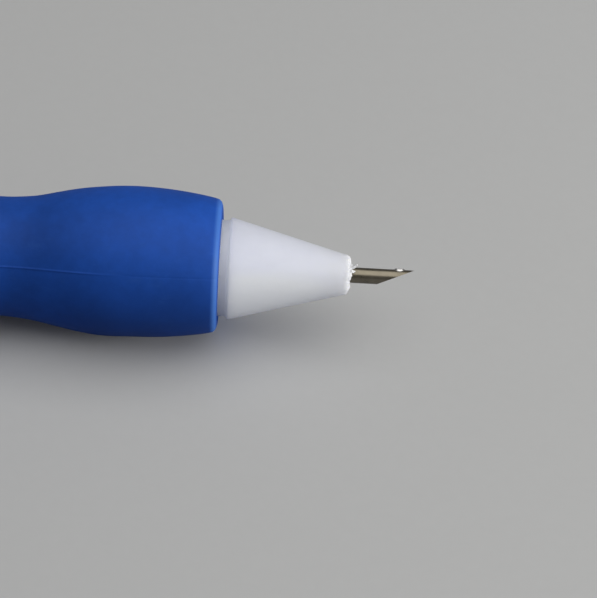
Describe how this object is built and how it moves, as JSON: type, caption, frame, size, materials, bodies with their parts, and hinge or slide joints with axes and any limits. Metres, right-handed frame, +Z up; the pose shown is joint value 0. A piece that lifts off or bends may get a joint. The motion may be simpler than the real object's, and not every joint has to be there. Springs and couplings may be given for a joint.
{
  "type": "punch needle",
  "caption": "Hand tool with a contoured soft grip, a conical tip round a hollow bevelled needle, a twist-set loop gauge and a lever that locks the needle cartridge.",
  "frame": {"origin": "under the middle of the tool's length, on the surface that the grip lies on", "axes": "+X along the tool to the needle's point, +Z up out of the surface, +Y to the far side"},
  "size_m": [0.1411, 0.018, 0.0179],
  "materials": {
    "grip_rubber": "matte",
    "white_plastic": "satin",
    "grey_plastic": "satin",
    "steel": "polished",
    "brass": "polished"
  },
  "bodies": {
    "handle": {"soft_grip": "grip_rubber", "front_barrel": "white_plastic", "rear_shell": "white_plastic", "shell_pin_near": "steel", "shell_pin_far": "steel", "rear_bush": "grey_plastic", "gauge_spring": "steel", "lever_pin": "steel"},
    "gauge_slider": {"thrust_washer": "steel"},
    "tip": {"nose_cone": "white_plastic", "gauge_tube": "grey_plastic", "stud_collar": "grey_plastic", "setting_stud": "steel"},
    "cartridge": {"needle_tube": "steel", "needle_hub": "grey_plastic", "needle_holder": "grey_plastic", "tail_knob": "white_plastic", "thread_eyelet": "brass"},
    "lever": {"lock_lever": "white_plastic"}
  },
  "joints": [
    {"name": "gauge_slide", "type": "slide", "parent": "handle", "child": "gauge_slider", "axis": [-1, 0, 0], "range_m": [0, 0.011], "deforming": ["gauge_spring"]},
    {"name": "gauge_turn", "type": "hinge", "parent": "gauge_slider", "child": "tip", "pos_m": [0, 0, 0.00896], "axis": [1, 0, 0], "range_deg": [0, 330]},
    {"name": "needle_draw", "type": "slide", "parent": "handle", "child": "cartridge", "axis": [-1, 0, 0], "range_m": [0, 0.135]},
    {"name": "lever_flip", "type": "hinge", "parent": "handle", "child": "lever", "pos_m": [-0.05375, 0, 0.01421], "axis": [0, 1, 0], "range_deg": [0, 90]}
  ],
  "couplings": [
    {"joint": "gauge_turn", "follows": "gauge_slide", "rad_per_m": 523.6}
  ]
}
